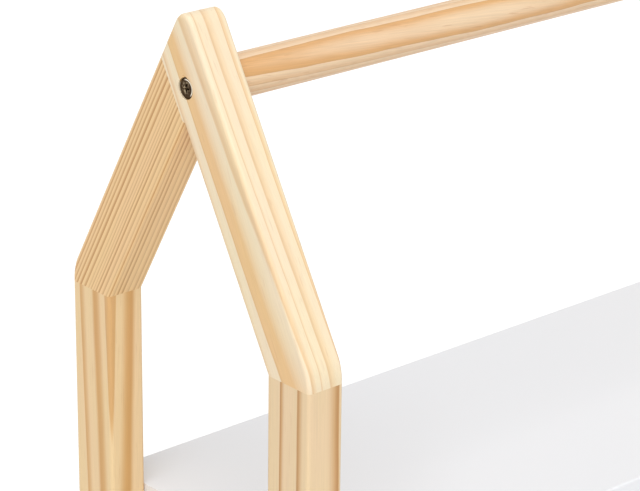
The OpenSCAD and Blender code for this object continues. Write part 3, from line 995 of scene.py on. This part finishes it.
# %% [markdown]
# The glides under the feet are off-white moulded plastic. Its fine grain is too small to model, so
# it is a noise that changes the gloss and drives a bump.

# %% Plastic
OFF_WHITE = srgb(228, 226, 220)
OFF_WHITE_DARKER = srgb(216, 214, 207)
GRAINS = 1500


def plastic():
    """Off-white moulded plastic with a fine grain."""
    material, tree, bsdf = new_material("glide_plastic", Roughness=0.4)
    where = coordinates(tree)
    colour = blend(tree, noise(tree, where, 80), OFF_WHITE, OFF_WHITE_DARKER)
    grain = noise(tree, where, GRAINS, 1.0)
    gloss = maths(tree, "ADD", 0.35, product(tree, grain, 0.15))
    feed(tree, bsdf, {"Base Color": colour, "Roughness": gloss})
    bumpy(tree, bsdf, grain, 0.15)
    return material


glide_plastic = plastic()
for side in ("left", "right"):
    for end in ("front", "rear"):
        dress(nodes[f"{side}_{end}_glide"], glide_plastic)
print("finishes:", [m.name for m in bpy.data.materials])

# %% [markdown]
# ## Floor, light and camera
# The photograph has a pure white ground. A floor of white paint would still come out grey where
# the light is weak. So, only for what the camera sees, the floor gives off some light of its own,
# and the object's shadow still shows on it.

# %% Floor
def seen(tree):
    """1 for what the camera sees, directly or in a mirror, and 0 for light that falls on things."""
    path = add(tree, "LightPath").outputs
    mirrored = maths(tree, "MAXIMUM", path["Is Glossy Ray"], path["Is Transmission Ray"])
    return maths(tree, "MAXIMUM", path["Is Camera Ray"], mirrored)


WHITE = (1, 1, 1, 1)
FLOOR_GREY = (0.78, 0.78, 0.78, 1)
FLOOR_GLOW = 0.36
FLOOR_W = 60
bpy.ops.object.select_all(action="DESELECT")
bpy.ops.mesh.primitive_plane_add(size=FLOOR_W, location=(0, 0, 0))
floor = bpy.context.object
floor.name = floor.data.name = "floor"
material, tree, bsdf = new_material("studio_floor", Roughness=0.9, Specular_IOR_Level=0.1)
glow = product(tree, seen(tree), FLOOR_GLOW)
feed(tree, bsdf, {"Base Color": FLOOR_GREY, "Emission Color": WHITE, "Emission Strength": glow})
dress(floor, material)
print("floor in", material.name)

# %% [markdown]
# The light is soft studio light, with hardly any shadow in the photograph. An even white world
# gives most of it. A wide lamp above the front left corner makes the faces differ in tone, and a
# weaker one level with the case lights the sides of the boards. They are suns, not area lamps, so
# the light is as strong at the feet as at the peak.

# %% World and lamps
AMBIENT = 0.54
world = bpy.data.worlds.new("studio")
bpy.context.scene.world = world
world.use_nodes = True
tree = world.node_tree
strength = maths(tree, "ADD", AMBIENT, product(tree, seen(tree), 1 - AMBIENT))
feed(tree, tree.nodes["Background"], {"Color": WHITE, "Strength": strength})


def sun(name, energy, towards, softness):
    """A distant lamp that shines towards this direction. softness is its width in degrees."""
    bpy.ops.object.light_add(type="SUN", location=-3 * Vector(towards))
    lamp = bpy.context.object
    lamp.name = name
    lamp.data.energy = energy
    lamp.data.angle = math.radians(softness)
    lamp.rotation_euler = Vector(towards).to_track_quat("-Z", "Y").to_euler()


sun("window_above", 1.5, (0.33, 0.35, -0.88), 50)
sun("window_beside", 0.8, (0.56, 0.83, -0.06), 30)

# %% [markdown]
# The camera's place, its lens and the two directions below were solved from the straight edges of
# the gable, the pole and the shelf in the photograph. A camera placed by eye would leave these
# edges several pixels off.

# %% Camera
CAMERA = Vector((-1.43369, -1.30383, 1.61912))
LOOK = Vector((0.61572, 0.69830, -0.36506))
ACROSS = Vector((0.75302, -0.65789, 0.01162))
LENS = 151.13
FILM_WIDTH = 36
FAR_ENOUGH = 100
bpy.ops.object.camera_add(location=CAMERA)
camera = bpy.context.object
axes = Matrix((ACROSS, ACROSS.cross(LOOK), -LOOK)).transposed()
camera.matrix_world = Matrix.Translation(CAMERA) @ axes.to_4x4()
camera.data.sensor_width = FILM_WIDTH
camera.data.lens = LENS
camera.data.clip_end = FAR_ENOUGH
bpy.context.scene.camera = camera
bpy.context.scene.view_settings.view_transform = "Standard"
print("camera at", [round(n, 3) for n in CAMERA], "lens", camera.data.lens)

# %% [markdown]
# ## Putting it together
# Every piece rides on the one body of the model, and hides the part of the model that it stands for.

# %% Ride and replace
for name, board in boards.items():
    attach(board, "root")
    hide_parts(name)
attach(pole, "root")
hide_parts("ridge_pole")
for piece in bolts:
    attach(piece, "root")
    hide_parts("ridge_bolts" if "ridge" in piece.name else "shelf_bolts")
for piece in screws:
    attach(piece, "root")
    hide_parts("panel_screws")
